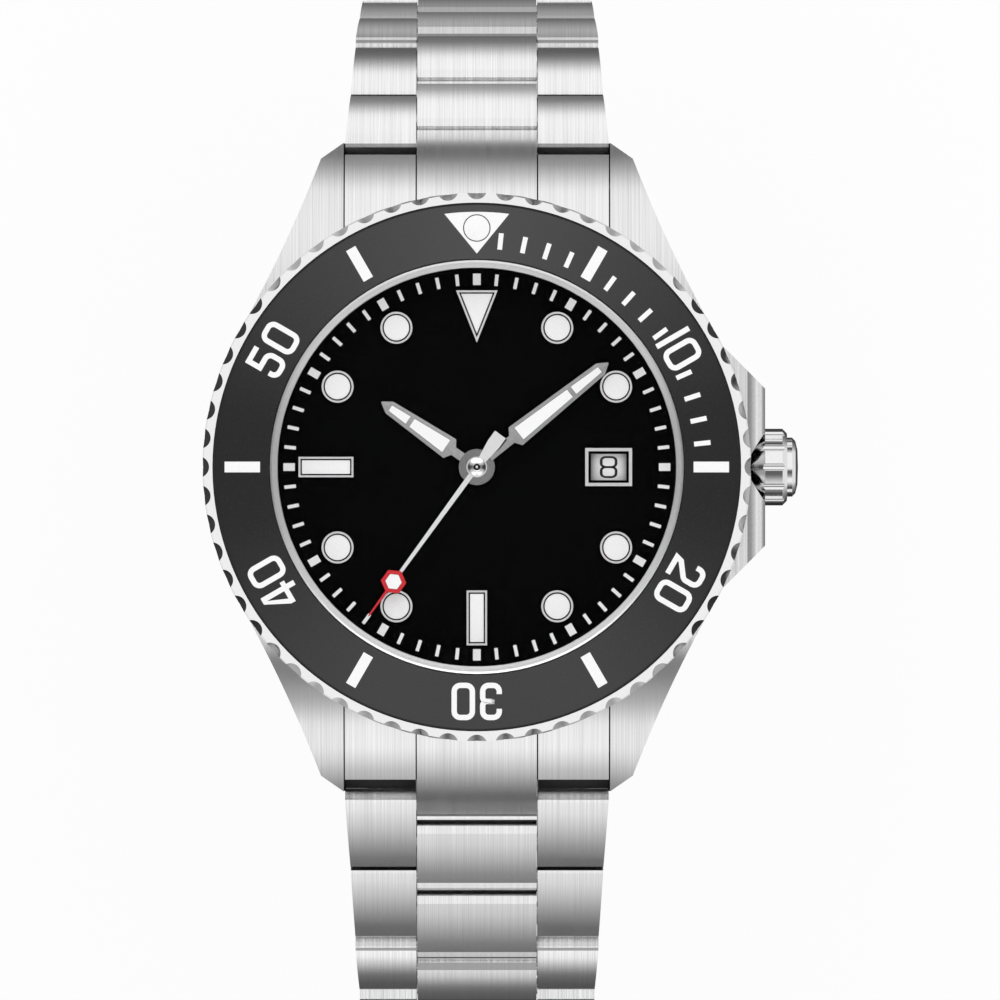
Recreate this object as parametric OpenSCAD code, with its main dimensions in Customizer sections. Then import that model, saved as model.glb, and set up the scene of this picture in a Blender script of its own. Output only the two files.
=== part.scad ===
// Dive watch on a three-link bracelet with a folding clasp.
// Dial up: +Z leaves the dial, +Y is twelve o'clock, +X is the crown.
// The flat outside of the case back lies at z = 0, centred on the hands.

/* [Case] */
// Width of the middle case from flank to flank
case_w = 40; // [36:0.5:48]
// Distance over the lug tips
lug_to_lug = 48.7; // [44:0.1:58]
// Gap between two lugs, the nominal bracelet width
lug_gap = 20; // [16:1:24]
// Width of a lug at its tip
lug_tip_w = 1.7; // [1.2:0.1:2.4]
// Radius of the hollow outer edge of a lug
lug_flare_r = 96; // [36:1:140]
// How far a lug falls from the case top to its tip
lug_drop = 4.6; // [3:0.1:5.5]
// Height of the case side
case_h = 7.4; // [7:0.1:9]
// How far the crown guards stand out from the flank
guard_out = 1.6; // [1:0.1:2]
// Half length of the straight part of the crown guards
guard_half = 5.88; // [5:0.1:7]

/* [Bezel] */
// Diameter over the bezel grip
bezel_d = 41; // [38:0.5:50]
// Height of the bezel ring
bezel_h = 2.6; // [2.2:0.1:3.5]
// Number of hollows round the grip
grip_count = 60; // [40:1:120]
// Depth of a hollow at the top of the bezel
grip_depth = 0.48; // [0.2:0.01:0.6]
// Radius of the cutter that makes a hollow
grip_r = 0.8; // [0.7:0.05:1.4]
// Width of the polished lip round the insert
lip_w = 0.26; // [0.2:0.01:0.6]
// Slot between the lip and the insert
insert_slot = 0.13; // [0.08:0.01:0.2]
// Thickness of the insert at its inner edge
insert_t = 0.75; // [0.5:0.05:1]
// Fall of the insert from its inner to its outer edge
insert_fall = 0.3; // [0:0.05:0.4]
// Diameter of the luminous pearl
pearl_d = 1.9; // [1.4:0.1:2.2]
// Radius on which the pearl sits
pearl_at = 17.86; // [17:0.01:18.5]

/* [Crystal and dial] */
// Diameter of the crystal
crystal_d = 30.9; // [29:0.1:37.2]
// Thickness of the crystal
crystal_t = 2; // [1.5:0.1:3]
// Diameter of the open dial
dial_open_d = 29.82; // [28:0.02:30]
// Thickness of the dial
dial_t = 0.4; // [0.3:0.05:0.6]
// Room for the hands between dial and crystal
hand_room = 2.25; // [2.2:0.05:3]
// Radius on which the round markers sit
dot_at = 12.04; // [11:0.02:12.5]
// Diameter of a round marker
dot_d = 2.4; // [1.8:0.1:2.8]
// Length of a bar marker
bar_len = 4.11; // [3:0.01:4.5]
// Width of a bar marker
bar_w = 1.53; // [1:0.01:2]
// Width of the triangle marker
tri_w = 3.12; // [2:0.02:3.6]
// Height of the triangle marker
tri_h = 3.92; // [3:0.02:4.2]
// Radius of the outer end of the bar and triangle markers
marker_out = 13.35; // [13:0.01:13.6]
// Height of the markers
marker_h = 0.35; // [0.2:0.05:0.45]
// Wall of the marker frames
marker_wall = 0.24; // [0.15:0.01:0.35]
// Distance of the date window from the centre
date_x = 9.87; // [9.5:0.01:10.2]
// Width of the date window
date_w = 2.66; // [2:0.02:2.8]
// Height of the date window
date_h = 1.97; // [1.5:0.01:2.2]

/* [Hands] */
// Hour shown
show_hour = 10; // [0:1:11]
// Minute shown
show_minute = 8.6; // [0:0.1:59.9]
// Second shown
show_second = 36; // [0:1:59]
// Length of the hour hand
hour_len = 8.66; // [7:0.02:9]
// Length of the minute hand
minute_len = 12.57; // [10:0.01:13.2]
// Length of the seconds hand
second_len = 13.78; // [12:0.02:14.2]
// Width of the hour and minute hands at their wide end
hand_w = 1.65; // [1.2:0.05:2]
// Slope of the two facets of a hand
hand_slope = 9; // [4:1:14]
// Distance of the hexagon on the seconds hand from the centre
hex_at = 10.6; // [9:0.1:11.5]
// Radius over the corners of the hexagon
hex_r = 0.96; // [0.7:0.02:1.2]

/* [Crown] */
// Diameter of the crown grip
crown_d = 5.78; // [5:0.02:6]
// Length of the crown grip
crown_grip = 1.3; // [1:0.1:2]
// Number of flutes on the crown grip
crown_flutes = 12; // [8:1:24]
// Radius of the cutter that makes a flute
flute_r = 0.32; // [0.2:0.02:0.5]
// Depth of a flute
flute_depth = 0.17; // [0.1:0.01:0.3]
// Outside diameter of the crown tube
crown_tube_d = 2.6; // [2.2:0.1:2.8]
// Diameter of the winding stem
stem_d = 1; // [0.8:0.05:1.1]

/* [Case back] */
// Thickness of the case back
back_t = 1.7; // [1.4:0.1:2.2]
// How far the case back stands below the case
back_rise = 1.2; // [0.8:0.1:1.4]
// Number of key slots in the case back
back_slots = 6; // [4:1:12]

/* [Movement] */
// Diameter of the main plate
move_d = 25.2; // [25.2:0.1:27]
// Radius of the winding rotor
rotor_r = 11.8; // [11:0.1:12.2]
// Thickness of the train wheels
wheel_t = 0.14; // [0.1:0.01:0.16]
// Radius of the balance wheel
balance_r = 4.1; // [3.6:0.05:4.15]
// Radius of the escape wheel
escape_r = 2; // [1.8:0.05:2.05]

/* [Bracelet] */
// Distance between two link hinges
link_pitch = 6.6; // [5.5:0.1:8]
// Width of the centre links
centre_w = 9; // [7:0.1:11]
// Height of a link above its hinge
link_out = 1.4; // [1.3:0.05:1.7]
// Depth of a link below its hinge
link_in = 1.2; // [1.1:0.05:1.5]
// Radius of the rounded link ends
link_end_r = 1.2; // [1:0.05:1.3]
// Lengthwise rounding radius of the link tops
link_crown_r = 24; // [12:1:40]
// Gap between two links along the bracelet
link_gap = 0.14; // [0.1:0.01:0.3]
// Gap between a centre link and its side links
side_gap = 0.07; // [0.05:0.01:0.15]
// Small bevel on the far edge of each side link
link_bevel = 0.28; // [0.1:0.02:0.4]
// Small bevel on the near edge of each side link
near_bevel = 0.14; // [0.1:0.02:0.4]
// Bevel on the near edge of each centre link
centre_bevel = 0.38; // [0.1:0.02:0.5]
// Diameter of the link pins
pin_d = 1.1; // [0.9:0.05:1.3]
// How far the first hinge lies past the lug tips on the twelve side
hinge_out_12 = -0.2; // [-0.4:0.05:1.5]
// How far the first hinge lies past the lug tips on the six side
hinge_out_6 = 1; // [-0.4:0.05:1.5]
// How far the sides of an end link stop short of the lug tips
end_link_short = 0.9; // [0.5:0.05:1.5]
// Width of the bracelet where it meets the clasp
clasp_w = 16.8; // [15:0.1:19]

/* [Clasp] */
// Bending radius of the clasp
clasp_r = 70; // [60:1:120]
// Thickness of the folding blades
blade_t = 0.75; // [0.6:0.05:0.8]
// Thickness of the clasp cover
cover_t = 0.8; // [0.6:0.05:1]
// Length of the folding blades as a share of the clasp
blade_share = 0.72; // [0.6:0.01:0.76]
// Length of the flip lock
lock_len = 12; // [9:0.5:14]

/* [Clearances] */
// Running clearance round pins and arbors
run_gap = 0.05; // [0.03:0.01:0.08]
// Clearance between pieces that are fixed together
fit_gap = 0.02; // [0.01:0.01:0.04]
// Clearance between the bezel and the case
bezel_gap = 0.15; // [0.1:0.01:0.3]

/* [Hidden] */
$fn = 64;
eps = 0.01;
far = 60;

// Heights of the stacked pieces
z_case = back_rise;
z_case_top = z_case + case_h;
z_rotor = back_t + 0.45;
z_bridge = z_rotor + 1.15;
z_train = z_bridge + 1;
z_plate = z_train + 1.6;
z_plate_top = z_plate + 1.1;
z_dial = z_plate_top + 0.45;
z_dial_top = z_dial + dial_t;
z_glass = z_dial_top + hand_room;
z_glass_top = z_glass + crystal_t;
z_bezel = z_case_top + bezel_gap;
z_lip = z_bezel + bezel_h;
z_floor = z_lip - 0.6;
z_neck = z_floor - 0.2;
z_spring = (z_bezel + z_floor) / 2;
z_crown = z_train + 0.9;

// Radii of the round case pieces
glass_r = crystal_d / 2;
neck_in = glass_r + 0.3;
neck_r = neck_in + 0.85;
bore_r = glass_r - 0.05;
dial_r = bore_r - 0.1;
bezel_r = bezel_d / 2;
bezel_in = neck_r + bezel_gap;
lip_r = bezel_r - grip_depth - lip_w;
insert_out = lip_r - insert_slot;
insert_in = glass_r + 0.12;
back_plug = glass_r + 0.55;
back_rim = back_plug + 1;
body_r = case_w / 2 - 0.8;
spring_r = 0.2;

// Lug outline
tip_x = lug_gap / 2 + lug_tip_w;
tip_y = lug_to_lug / 2;
tip_drop = 1.2;
lug_mid_y = 12;
lug_top = z_case_top - 0.3;
lug_arc_y = tip_y - lug_mid_y;
lug_arc_r = (lug_arc_y * lug_arc_y + lug_drop * lug_drop) / (2 * lug_drop);
flare_a = [tip_x, tip_y - tip_drop];
flare_b = [case_w / 2 - 1, 8];
flank_end_y = 11;
flare_c = arc_centre(flare_a, flare_b, lug_flare_r);

// Crown places along the X axis
crown_r = crown_d / 2;
flank_x = case_w / 2;
guard_x = flank_x + guard_out;
crown_in = flank_x + 0.4;
crown_out = guard_x + crown_grip;
crown_end = crown_out + 1.18;
tube_r = crown_tube_d / 2;
tube_bore = tube_r - 0.35;
tube_out = guard_x + 0.3;
stem_r = stem_d / 2;
stem_key = stem_d * 0.78;
stem_in = 6.9;
stem_out = crown_end - 0.9;

// Bracelet places in the Y and Z plane
rows = 7;
pin_r = pin_d / 2;
band_w = lug_gap - 0.2;
reach = link_end_r + link_gap;
near_reach = norm([link_end_r, link_out - 0.3]) + link_gap;
hinge_12_y = tip_y + hinge_out_12;
hinge_6_y = tip_y + hinge_out_6;
hinge_z = lug_top - lug_drop - 2.7;
bend_12 = [55, 56, 75, 78, 106, 134, 160];
bend_6 = [36, 37, 60, 88, 114, 138, 158];
bar_y = tip_y - 3.4;
bar_z = hinge_z + 1.5;
bar_r = 0.75;
bar_tip_r = 0.4;
end_12 = hinge_at(bend_12, rows, hinge_12_y);
end_6 = hinge_at(bend_6, rows, hinge_6_y);

// Clasp places in its own plane, u from the 6 side to the 12 side
clasp_a = [-end_6[0], end_6[1]];
clasp_run = end_12 - clasp_a;
clasp_l = norm(clasp_run);
clasp_tilt = atan2(clasp_run[1], clasp_run[0]);
clasp_wc = sqrt(clasp_r * clasp_r - clasp_l * clasp_l / 4);
blade_w = 12;
wall_in = clasp_w / 2 - 0.8;
fold_u = clasp_l * blade_share;
fold_at = arc_at(clasp_r - 0.1, fold_u);
cover_u = 5;
cover_at = arc_at(clasp_r + 0.35, cover_u);
cover_in = clasp_r + 0.95;
lock_at = arc_at(clasp_r + 0.6, lock_len + 1);

// Gear train: modules, centre distances and places
mod_barrel = 0.125;
mod_third = 0.1;
mod_escape = 0.098;
mod_cannon = 0.11;
third_d = mod_third * 45;
mod_second = third_d / 42.5;
barrel_d = mod_barrel * 44;
escape_d = mod_escape * 45.5;
motion_d = mod_cannon * 24;
mod_hour = motion_d / 25;
third_deg = 55;
barrel_deg = 190;
escape_deg = -75;
motion_deg = 120;
third_at = polar(third_d, third_deg);
barrel_at = polar(barrel_d, barrel_deg);
escape_at = polar(escape_d, escape_deg);
motion_at = polar(motion_d, motion_deg);
balance_at = [-2.9, -7.2];
pallet_deg = atan2(balance_at[1] - escape_at[1], balance_at[0] - escape_at[0]);
pallet_at = escape_at + polar(escape_r + 0.38, pallet_deg);
pallet_len = norm(balance_at - pallet_at);
cock_foot = [2, -9.2];
pivot_r = 0.2;
arbor_r = 0.3;
cannon_r = 0.6;
minute_pipe = 0.75;
hour_pipe = 0.95;

// Hand heights
z_hour = z_dial_top + 0.42;
z_minute = z_hour + 0.5;
z_second = z_minute + 0.45;
hand_t = 0.2;

// Which sub-part is drawn

function polar(r, a) = [r * cos(a), r * sin(a)];

// Centre of the circle of radius r through p and q, on the outer side
function arc_centre(p, q, r) =
  let (c = q - p, l = norm(c), n = [-c[1], c[0]] / l)
  (p + q) / 2 + n * sqrt(r * r - l * l / 4);

// Hinge i of a bracelet half, counted from the case, the first at y0
function hinge_at(bend, i, y0) =
  i == 0 ? [y0, hinge_z]
  : hinge_at(bend, i - 1, y0) + link_pitch * [cos(bend[i - 1]), -sin(bend[i - 1])];

// Half width of the bracelet at row i
function half_w(i) = clasp_w / 2 + (band_w - clasp_w) / 2 * pow(1 - i / rows, 2);

// Point of the clasp arc of radius r at u
function arc_at(r, u) = [u, clasp_wc - sqrt(r * r - pow(u - clasp_l / 2, 2))];

// Outline of a gear with n trapezoid teeth of module m, one tooth on the X axis
function gear_points(n, m) =
  [for (i = [0 : n - 1]) for (k = [0 : 3])
    polar(m * (n / 2 + (k == 1 || k == 2 ? 0.85 : -1.15)),
      360 / n * (i + [-0.3, -0.13, 0.13, 0.3][k]))];

// Outline of a flat spiral of given turns, pitch and strip width
function spiral_points(r0, pitch, turns, w) =
  concat(
    [for (i = [0 : 24 * turns]) polar(r0 + pitch * i / 24, 15 * i)],
    [for (i = [24 * turns : -1 : 0]) polar(r0 + w + pitch * i / 24, 15 * i)]);

module ring(r_out, r_in, z0, z1) {
  rotate_extrude() translate([r_in, z0]) square([r_out - r_in, z1 - z0]);
}

module disc(r, z0, z1) {
  translate([0, 0, z0]) cylinder(r = r, h = z1 - z0);
}

module slab(z0, z1) {
  translate([0, 0, z0]) linear_extrude(z1 - z0) children();
}

// Round bar along X at the given y and z
module x_bar(r, x0, x1, y, z) {
  translate([x0, y, z]) rotate([0, 90, 0]) cylinder(r = r, h = x1 - x0);
}

// A profile drawn in y and z, given a width from x0 to x1
module x_slab(x0, x1) {
  translate([x0, 0, 0]) rotate([90, 0, 90]) linear_extrude(x1 - x0) children();
}

// A profile given the same width range on both sides of the middle
module x_pair(x0, x1) {
  x_slab(x0, x1) children();
  x_slab(-x1, -x0) children();
}

// Flat bar with round ends between two points
module bar_2d(p, q, w) {
  translate(p) circle(r = w / 2);
  translate(q) circle(r = w / 2);
  translate(p) rotate(atan2(q[1] - p[1], q[0] - p[0])) translate([0, -w / 2])
    square([norm(q - p), w]);
}

// Toothed wheel at p, its first tooth turned to angle a
module gear(n, m, p, a, z0, z1) {
  translate([p[0], p[1], z0]) rotate([0, 0, a]) linear_extrude(z1 - z0)
    polygon(gear_points(n, m));
}

// Round windows that leave a train wheel with spokes
module wheel_windows(p, r_at, r, z) {
  for (i = [0 : 4])
    translate([p[0], p[1], z - 0.5]) rotate([0, 0, 72 * i]) translate([r_at, 0, 0])
      cylinder(r = r, h = 1);
}

module arbor(p, r, z0, z1) {
  translate([p[0], p[1], z0]) cylinder(r = r, h = z1 - z0);
}

// Plan of the case flanks and lugs
module flank_plan() {
  difference() {
    intersection() {
      square([case_w, lug_to_lug], center = true);
      union() {
        circle(r = bezel_r);
        for (sy = [-1, 1])
          translate([0, sy * (far / 2 + flank_end_y)]) square([far, far], center = true);
      }
    }
    square([lug_gap, lug_to_lug + 2], center = true);
    for (sx = [-1, 1], sy = [-1, 1]) {
      translate([sx * flare_c[0], sy * flare_c[1]]) circle(r = lug_flare_r);
      polygon([[sx * lug_gap / 2, sy * tip_y], [sx * tip_x, sy * (tip_y - tip_drop)],
        [sx * case_w, sy * (tip_y - tip_drop)], [sx * case_w, sy * (tip_y + 1)],
        [sx * lug_gap / 2, sy * (tip_y + 1)]]);
    }
  }
}

// Side view of the lugs: flat middle with an arc down to each tip
module lug_side(drop) {
  difference() {
    intersection() {
      translate([-far, z_case - 0.65]) square([2 * far, far]);
      union() {
        translate([-lug_mid_y, -far]) square([2 * lug_mid_y, far + lug_top - drop]);
        for (sy = [-1, 1])
          translate([sy * lug_mid_y, lug_top - drop - lug_arc_r]) circle(r = lug_arc_r);
      }
    }
    polygon([[-19.5, z_case - 0.65], [-14, z_case], [14, z_case], [19.5, z_case - 0.65],
      [19.5, -far], [-19.5, -far]]);
  }
}

module guards() {
  difference() {
    slab(z_case + 0.4, lug_top)
      polygon([[flank_x - 5, -guard_half - 5 - guard_out], [guard_x, -guard_half],
        [guard_x, guard_half], [flank_x - 5, guard_half + 5 + guard_out]]);
    translate([0, far / 2, 0]) rotate([90, 0, 0]) linear_extrude(far) difference() {
      translate([guard_x - 1.35, lug_top - 1.5]) square([3, 3]);
      translate([guard_x - 2.488, lug_top - 2.38]) circle(r = 2.64);
    }
    x_bar(crown_r + 0.2, flank_x + 0.1, flank_x + 10, 0, z_crown);
  }
}

module case_blank() {
  rotate_extrude()
    polygon([[glass_r - 2, z_case], [body_r, z_case], [body_r, z_case_top],
      [neck_r, z_case_top], [neck_r, z_neck], [glass_r - 2, z_neck]]);
  intersection() {
    slab(z_case - 1, z_case_top) flank_plan();
    x_slab(-far, far) lug_side(0);
  }
  guards();
}

module case() {
  color("silver") difference() {
    case_blank();
    disc(back_plug + run_gap, z_case - 1, back_t + 1.2);
    disc(bore_r, z_case, z_dial_top + 0.05);
    disc(neck_in, z_dial_top + 0.05, z_neck + 1);
    rotate_extrude() translate([neck_r, z_spring]) circle(r = spring_r + run_gap);
    x_bar(tube_r + fit_gap, bore_r - 2, guard_x + 1, 0, z_crown);
    for (sx = [-1, 1], sy = [-1, 1])
      x_bar(bar_tip_r + fit_gap, min(sx * (lug_gap / 2 - 0.2), sx * (lug_gap / 2 + 1)),
        max(sx * (lug_gap / 2 - 0.2), sx * (lug_gap / 2 + 1)), sy * bar_y, bar_z);
  }
}

module crown_tube() {
  color("gray") difference() {
    x_bar(tube_r, bore_r + 0.05, tube_out, 0, z_crown);
    x_bar(tube_bore, bore_r - 1, tube_out + 1, 0, z_crown);
  }
}

module case_back() {
  color("silver") difference() {
    rotate_extrude()
      polygon([[0, 0], [back_rim - 1.2, 0], [back_rim, 0.6], [back_rim, z_case],
        [back_plug, z_case], [back_plug, back_t + 1.1], [back_plug - 0.8, back_t + 1.1],
        [back_plug - 0.8, back_t], [0, back_t]]);
    ring(back_plug + 0.75, back_plug + 0.25, z_case - 0.4, z_case + 1);
    for (i = [0 : back_slots - 1])
      rotate([0, 0, 360 / back_slots * i]) translate([back_rim - 2.2, -1.2, -1])
        cube([5, 2.4, 1.5]);
  }
}

module back_gasket() {
  color("dimgray") ring(back_plug + 0.7, back_plug + 0.3, z_case - 0.37, z_case);
}

module crystal() {
  color("lightblue") rotate_extrude()
    polygon([[0, z_glass], [glass_r, z_glass], [glass_r, z_glass_top - 0.35],
      [glass_r - 0.35, z_glass_top], [0, z_glass_top]]);
}

module crystal_gasket() {
  color("dimgray") ring(neck_in - fit_gap, glass_r + fit_gap, z_glass, z_neck);
}

module rehaut_ring() {
  color("silver") rotate_extrude()
    polygon([[dial_open_d / 2, z_dial_top], [dial_r, z_dial_top], [dial_r, z_dial_top + 0.05],
      [neck_in - run_gap, z_dial_top + 0.05], [neck_in - run_gap, z_glass],
      [glass_r - 0.02, z_glass], [glass_r - 0.2, z_glass - 0.05],
      [dial_open_d / 2 + 0.02, z_glass - 0.25]]);
}

module bezel_spring() {
  color("gray") rotate_extrude() translate([neck_r, z_spring]) circle(r = spring_r);
}

module dial() {
  color("black") difference() {
    disc(dial_r, z_dial, z_dial_top);
    disc(hour_pipe + 0.2, z_dial - 1, z_dial_top + 1);
    translate([date_x - date_w / 2, -date_h / 2, z_dial - 1]) cube([date_w, date_h, 3]);
  }
}

// Outline of the triangle marker, drawn in by the given amount
module tri_2d(inset) {
  leg = norm([tri_w / 2, tri_h]);
  in_r = tri_w * tri_h / (tri_w + 2 * leg);
  k = (in_r - inset) / in_r;
  translate([0, marker_out - 0.12 - in_r])
    polygon([[-tri_w / 2 * k, in_r * k], [tri_w / 2 * k, in_r * k], [0, (in_r - tri_h) * k]]);
}

// Outlines of all markers, drawn in by the given amount
module markers_2d(inset) {
  for (i = [1, 2, 4, 5, 7, 8, 10, 11])
    rotate(-30 * i) translate([0, dot_at]) circle(r = dot_d / 2 - inset);
  for (i = [6, 9])
    rotate(-30 * i) translate([-bar_w / 2 + inset, marker_out - bar_len + inset])
      square([bar_w - 2 * inset, bar_len - 2 * inset]);
  tri_2d(inset);
}

module hour_markers() {
  color("silver") {
    difference() {
      slab(z_dial_top, z_dial_top + marker_h) markers_2d(0);
      slab(z_dial_top + 0.1, z_dial_top + 1) markers_2d(marker_wall - fit_gap);
    }
    difference() {
      translate([date_x, 0, z_dial_top + 0.08])
        cube([date_w + 0.85, date_h + 0.88, 0.16], center = true);
      translate([date_x, 0, z_dial_top])
        cube([date_w + 0.37, date_h + 0.4, 3], center = true);
    }
  }
}

module marker_lume() {
  color("white") slab(z_dial_top + 0.1, z_dial_top + marker_h - 0.03) markers_2d(marker_wall);
}

module movement_ring() {
  color("gray") difference() {
    ring(dial_r, move_d / 2 + run_gap, z_bridge, z_dial);
    x_bar(stem_r + 0.3, 0, far, 0, z_crown);
  }
}

module main_plate() {
  color("goldenrod") difference() {
    union() {
      disc(move_d / 2, z_plate, z_plate_top);
      ring(move_d / 2, move_d / 2 - 1.8, z_train, z_plate + eps);
      translate([stem_in - 0.4, -1.6, z_crown - 0.6])
        cube([move_d / 2 - stem_in - 0.4, 3.2, z_plate - z_crown + 0.7]);
      arbor(motion_at, 0.25, z_plate, z_dial - 0.03);
    }
    x_bar(stem_r + run_gap, stem_in - 1, far, 0, z_crown);
    disc(cannon_r + run_gap, z_plate - 1, z_plate_top + 1);
    for (p = [third_at, escape_at, barrel_at, pallet_at, balance_at])
      arbor(p, pivot_r + run_gap, z_plate - 1, z_plate + 0.6);
  }
}

module train_bridge() {
  color("lightgray") slab(z_bridge, z_train) difference() {
    circle(r = move_d / 2 - 0.4);
    translate([-far, -far - 5.6]) square([2 * far, far]);
    translate(balance_at) circle(r = balance_r + 0.4);
    circle(r = arbor_r + run_gap);
    for (p = [third_at, escape_at, barrel_at])
      translate(p) circle(r = pivot_r + run_gap);
  }
}

module balance_cock() {
  color("lightgray") difference() {
    union() {
      slab(z_bridge, z_bridge + 0.5) bar_2d(balance_at, cock_foot, 2);
      arbor(cock_foot, 1, z_bridge, z_plate);
    }
    arbor(balance_at, pivot_r + run_gap, z_bridge - 1, z_bridge + 1);
  }
}

module rotor_bearing() {
  color("gray") {
    disc(1.5, z_rotor - 0.05, z_bridge);
    disc(2, z_rotor - 0.3, z_rotor - 0.05);
  }
}

// Side view of an end link: arc top, round hinge eye in the centre part
module end_link_side(drop, out_y) {
  intersection() {
    lug_side(drop);
    translate([body_r - 4, z_case - 0.4]) square([out_y - body_r + 4, far]);
  }
}

module end_link(hy) {
  difference() {
    union() {
      x_pair(centre_w / 2 - 0.4, band_w / 2) difference() {
        end_link_side(0.2, tip_y - end_link_short);
        translate([hy, hinge_z]) circle(r = near_reach);
        translate([hy - near_reach, -far]) square([far, far + hinge_z]);
      }
      x_slab(-centre_w / 2, centre_w / 2) {
        difference() {
          end_link_side(0.05, hy + link_end_r - 0.05);
          translate([hy, -far]) square([far, far + hinge_z]);
        }
        translate([hy, hinge_z]) circle(r = link_end_r);
        translate([hy - 3, hinge_z - link_end_r]) square([3, 2 * link_end_r]);
      }
    }
    disc(body_r + run_gap, -far, far);
    x_pair(centre_w / 2, centre_w / 2 + 0.1) difference() {
      end_link_side(-1, far);
      end_link_side(0.6, far);
    }
    x_bar(bar_r + run_gap, -far, far, bar_y, bar_z);
    x_bar(pin_r + run_gap, -far, far, hy, hinge_z);
  }
}

module end_links() {
  color("silver") {
    end_link(hinge_12_y);
    mirror([0, 1, 0]) end_link(hinge_6_y);
  }
}

module lug_spring_bars() {
  color("gray") for (sy = [-1, 1]) {
    x_bar(bar_r, -lug_gap / 2 + 0.3, lug_gap / 2 - 0.3, sy * bar_y, bar_z);
    x_bar(bar_tip_r, -lug_gap / 2 - 0.9, lug_gap / 2 + 0.9, sy * bar_y, bar_z);
  }
}

module bezel_ring() {
  tilt = atan(grip_depth / bezel_h);
  color("silver") difference() {
    rotate_extrude()
      polygon([[bezel_in, z_bezel], [bezel_r, z_bezel], [bezel_r, z_lip - 0.12],
        [bezel_r - 0.1, z_lip], [lip_r, z_lip], [lip_r, z_floor],
        [neck_in + 0.2, z_floor], [neck_in + 0.2, z_neck + 0.1], [bezel_in, z_neck + 0.1]]);
    for (i = [0 : grip_count - 1])
      rotate([0, 0, 90 + 360 / grip_count * i])
        translate([bezel_r - grip_depth + grip_r, 0, z_lip]) rotate([0, -tilt, 0])
          translate([0, 0, -bezel_h - 1]) cylinder(r = grip_r, h = bezel_h + 2);
    rotate_extrude() translate([neck_r, z_spring]) circle(r = spring_r + run_gap);
  }
}

module bezel_insert() {
  color("black") difference() {
    rotate_extrude()
      polygon([[insert_in, z_floor], [insert_out, z_floor],
        [insert_out, z_floor + insert_t - insert_fall], [insert_in, z_floor + insert_t]]);
    arbor([0, pearl_at], pearl_d / 2 + fit_gap, z_floor + 0.1, z_lip + 1);
  }
}

module bezel_pearl() {
  color("white") intersection() {
    arbor([0, pearl_at], pearl_d / 2, z_floor + 0.1, z_lip + 1);
    translate([0, pearl_at, z_floor + insert_t + 0.05 - 3]) sphere(r = 3);
  }
}

module winding_stem() {
  color("gray") {
    x_bar(stem_r, stem_in, flank_x - 0.4, 0, z_crown);
    translate([flank_x - 0.5, -stem_key / 2, z_crown - stem_key / 2])
      cube([stem_out - flank_x + 0.5, stem_key, stem_key]);
  }
}

module crown() {
  color("silver") translate([0, 0, z_crown]) rotate([0, 90, 0]) difference() {
    rotate_extrude()
      polygon([[0, crown_in], [tube_r + 0.3, crown_in], [crown_r, guard_x],
        [crown_r, crown_out], [crown_r - 0.36, crown_out + 0.35],
        [crown_r * 0.767, crown_out + 0.35], [crown_r * 0.767, crown_end - 0.45],
        [crown_r * 0.68, crown_end - 0.2], [crown_r * 0.45, crown_end - 0.04],
        [0, crown_end]]);
    difference() {
      disc(tube_r + run_gap, crown_in - 1, tube_out + 0.1);
      disc(tube_bore - run_gap, crown_in - 1, tube_out + 1);
    }
    translate([-stem_key / 2 - run_gap, -stem_key / 2 - run_gap, crown_in - 1])
      cube([stem_key + 2 * run_gap, stem_key + 2 * run_gap, stem_out - crown_in + 1.1]);
    for (i = [0 : crown_flutes - 1])
      rotate([0, 0, 360 / crown_flutes * i])
        translate([crown_r + flute_r - flute_depth, 0, guard_x - 1])
          cylinder(r = flute_r, h = far);
  }
}

// Roof-shaped hand: two sloping halves meet in a ridge along +Y
module roof_hand(len, root, hub, bore, shoulder) {
  difference() {
    union() {
      for (sx = [-1, 1])
        rotate([0, sx * hand_slope, 0]) linear_extrude(hand_t)
          polygon([[-sx * 0.05, 0], [sx * 0.3, 0], [sx * 0.3, root - 0.35],
            [sx * hand_w / 2, root], [sx * hand_w * 0.3, shoulder], [0, len],
            [-sx * 0.05, len - 0.1]]);
      translate([0, 0, -0.05]) cylinder(r = hub, h = hand_t + 0.1);
    }
    translate([0, 0, -1]) cylinder(r = bore + fit_gap, h = 3);
    translate([0, 0, -1]) linear_extrude(3) hand_windows(len, root, shoulder, 0);
  }
}

// Half width of the light strip in a hand at distance y
function strip_w(y, root, shoulder) =
  hand_w * (0.5 - 0.2 * (y - root) / (shoulder - root)) - 0.24;

// The two windows in a hand, drawn in by the given amount
module hand_windows(len, root, shoulder, inset) {
  bar_0 = root + (shoulder - root) * 0.66;
  for (w = [[root + 0.3, bar_0 - 0.15], [bar_0 + 0.15, shoulder - 0.05]]) {
    y0 = w[0] + inset;
    y1 = w[1] - inset;
    a = strip_w(y0, root, shoulder) - inset;
    b = strip_w(y1, root, shoulder) - inset;
    polygon([[-a, y0], [a, y0], [b, y1], [-b, y1]]);
  }
}

module place_hand(turn, z) {
  translate([0, 0, z]) rotate([0, 0, -turn]) children();
}

hour_turn = 30 * (show_hour + show_minute / 60);
hour_root = 2.45;
hour_shoulder = hour_len - 0.75;
minute_root = 3.7;
minute_shoulder = minute_len - 0.75;

module hour_hand() {
  color("silver") place_hand(hour_turn, z_hour)
    roof_hand(hour_len, hour_root, 1.35, hour_pipe, hour_shoulder);
}

module hour_lume() {
  color("white") place_hand(hour_turn, z_hour - 0.05) linear_extrude(hand_t)
    hand_windows(hour_len, hour_root, hour_shoulder, fit_gap);
}

module minute_hand() {
  color("silver") place_hand(6 * show_minute, z_minute)
    roof_hand(minute_len, minute_root, 1.23, minute_pipe, minute_shoulder);
}

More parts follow.
